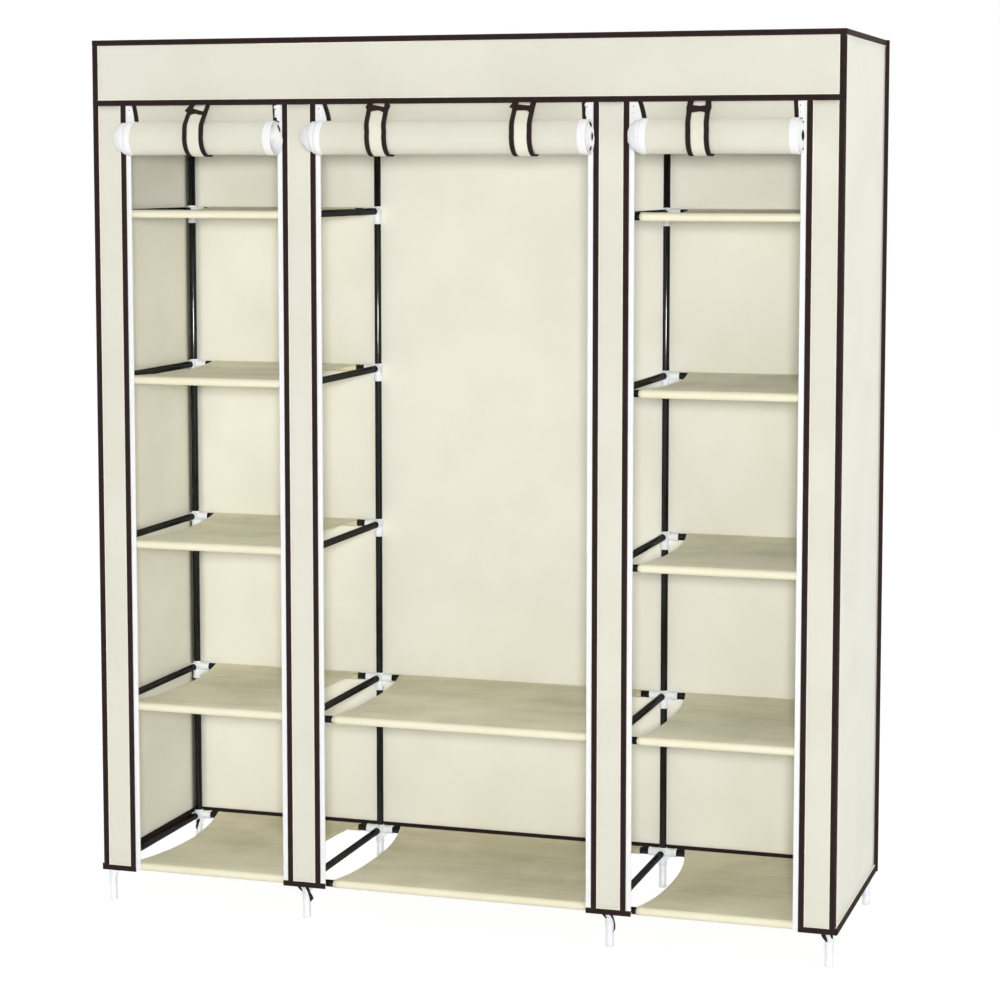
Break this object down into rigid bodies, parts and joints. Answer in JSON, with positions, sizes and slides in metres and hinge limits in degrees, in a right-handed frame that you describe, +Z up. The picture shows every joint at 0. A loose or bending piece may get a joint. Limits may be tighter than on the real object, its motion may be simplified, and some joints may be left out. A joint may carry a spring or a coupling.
{
  "type": "portable fabric wardrobe",
  "caption": "Free-standing tube-frame wardrobe with cloth shelves, a hanging bay and a bound cloth cover whose zipped doors are rolled up and strapped.",
  "frame": {"origin": "centre of the overall box's floor, straps and rolled doors included", "axes": "+X to the right as seen from the front, +Y from the front to the back, +Z up"},
  "size_m": [1.5, 0.525, 1.74],
  "materials": {
    "steel_tube": "gloss black enamel",
    "cover_cloth": "matt non-woven cream cloth",
    "shelf_cloth": "matt non-woven beige cloth",
    "strap_cloth": "cream cloth strap with dark bound edges",
    "slider_plastic": "moulded white",
    "binding_tape": "matt dark brown woven edge tape",
    "zip_tape": "white woven zip tape",
    "connector_plastic": "moulded white"
  },
  "bodies": {
    "root": {"left_end_frame": "steel_tube", "left_middle_frame": "steel_tube", "right_middle_frame": "steel_tube", "right_end_frame": "steel_tube", "top_frame": "steel_tube", "hanging_rod": "steel_tube", "left_bay_front_rail_1": "steel_tube", "left_bay_rear_rail_1": "steel_tube", "left_bay_front_rail_2": "steel_tube", "left_bay_rear_rail_2": "steel_tube", "left_bay_front_rail_3": "steel_tube", "left_bay_rear_rail_3": "steel_tube", "left_bay_front_rail_4": "steel_tube", "left_bay_rear_rail_4": "steel_tube", "left_bay_front_rail_5": "steel_tube", "left_bay_rear_rail_5": "steel_tube", "middle_bay_front_rail_1": "steel_tube", "middle_bay_rear_rail_1": "steel_tube", "middle_bay_front_rail_2": "steel_tube", "middle_bay_rear_rail_2": "steel_tube", "right_bay_front_rail_1": "steel_tube", "right_bay_rear_rail_1": "steel_tube", "right_bay_front_rail_2": "steel_tube", "right_bay_rear_rail_2": "steel_tube", "right_bay_front_rail_3": "steel_tube", "right_bay_rear_rail_3": "steel_tube", "right_bay_front_rail_4": "steel_tube", "right_bay_rear_rail_4": "steel_tube", "right_bay_front_rail_5": "steel_tube", "right_bay_rear_rail_5": "steel_tube", "left_bay_shelf_1": "shelf_cloth", "left_bay_shelf_2": "shelf_cloth", "left_bay_shelf_3": "shelf_cloth", "left_bay_shelf_4": "shelf_cloth", "left_bay_shelf_5": "shelf_cloth", "middle_bay_shelf_1": "shelf_cloth", "middle_bay_shelf_2": "shelf_cloth", "right_bay_shelf_1": "shelf_cloth", "right_bay_shelf_2": "shelf_cloth", "right_bay_shelf_3": "shelf_cloth", "right_bay_shelf_4": "shelf_cloth", "right_bay_shelf_5": "shelf_cloth", "cover_shell": "cover_cloth", "cover_front": "cover_cloth", "left_door_panel": "cover_cloth", "middle_door_panel": "cover_cloth", "right_door_panel": "cover_cloth", "left_door_strap_1": "strap_cloth", "middle_door_strap_1": "strap_cloth", "middle_door_strap_2": "strap_cloth", "right_door_strap_1": "strap_cloth"},
    "left_door_roll": {"left_door_roll": "cover_cloth"},
    "middle_door_roll": {"middle_door_roll": "cover_cloth"},
    "right_door_roll": {"right_door_roll": "cover_cloth"},
    "left_door_left_slider": {"left_door_left_slider": "slider_plastic"},
    "left_door_right_slider": {"left_door_right_slider": "slider_plastic"},
    "middle_door_left_slider": {"middle_door_left_slider": "slider_plastic"},
    "middle_door_right_slider": {"middle_door_right_slider": "slider_plastic"},
    "right_door_left_slider": {"right_door_left_slider": "slider_plastic"},
    "right_door_right_slider": {"right_door_right_slider": "slider_plastic"}
  },
  "joints": [
    {"name": "left_door_unroll", "type": "slide", "parent": "root", "child": "left_door_roll", "axis": [0, 0, -1], "range_m": [0, 1.44], "deforming": ["left_door_panel", "left_door_strap_1"]},
    {"name": "middle_door_unroll", "type": "slide", "parent": "root", "child": "middle_door_roll", "axis": [0, 0, -1], "range_m": [0, 1.44], "deforming": ["middle_door_panel", "middle_door_strap_1", "middle_door_strap_2"]},
    {"name": "right_door_unroll", "type": "slide", "parent": "root", "child": "right_door_roll", "axis": [0, 0, -1], "range_m": [0, 1.44], "deforming": ["right_door_panel", "right_door_strap_1"]},
    {"name": "left_door_left_zip", "type": "slide", "parent": "root", "child": "left_door_left_slider", "axis": [0, 0, -1], "range_m": [0, 1.505]},
    {"name": "left_door_right_zip", "type": "slide", "parent": "root", "child": "left_door_right_slider", "axis": [0, 0, -1], "range_m": [0, 1.505]},
    {"name": "middle_door_left_zip", "type": "slide", "parent": "root", "child": "middle_door_left_slider", "axis": [0, 0, -1], "range_m": [0, 1.505]},
    {"name": "middle_door_right_zip", "type": "slide", "parent": "root", "child": "middle_door_right_slider", "axis": [0, 0, -1], "range_m": [0, 1.505]},
    {"name": "right_door_left_zip", "type": "slide", "parent": "root", "child": "right_door_left_slider", "axis": [0, 0, -1], "range_m": [0, 1.505]},
    {"name": "right_door_right_zip", "type": "slide", "parent": "root", "child": "right_door_right_slider", "axis": [0, 0, -1], "range_m": [0, 1.505]}
  ]
}
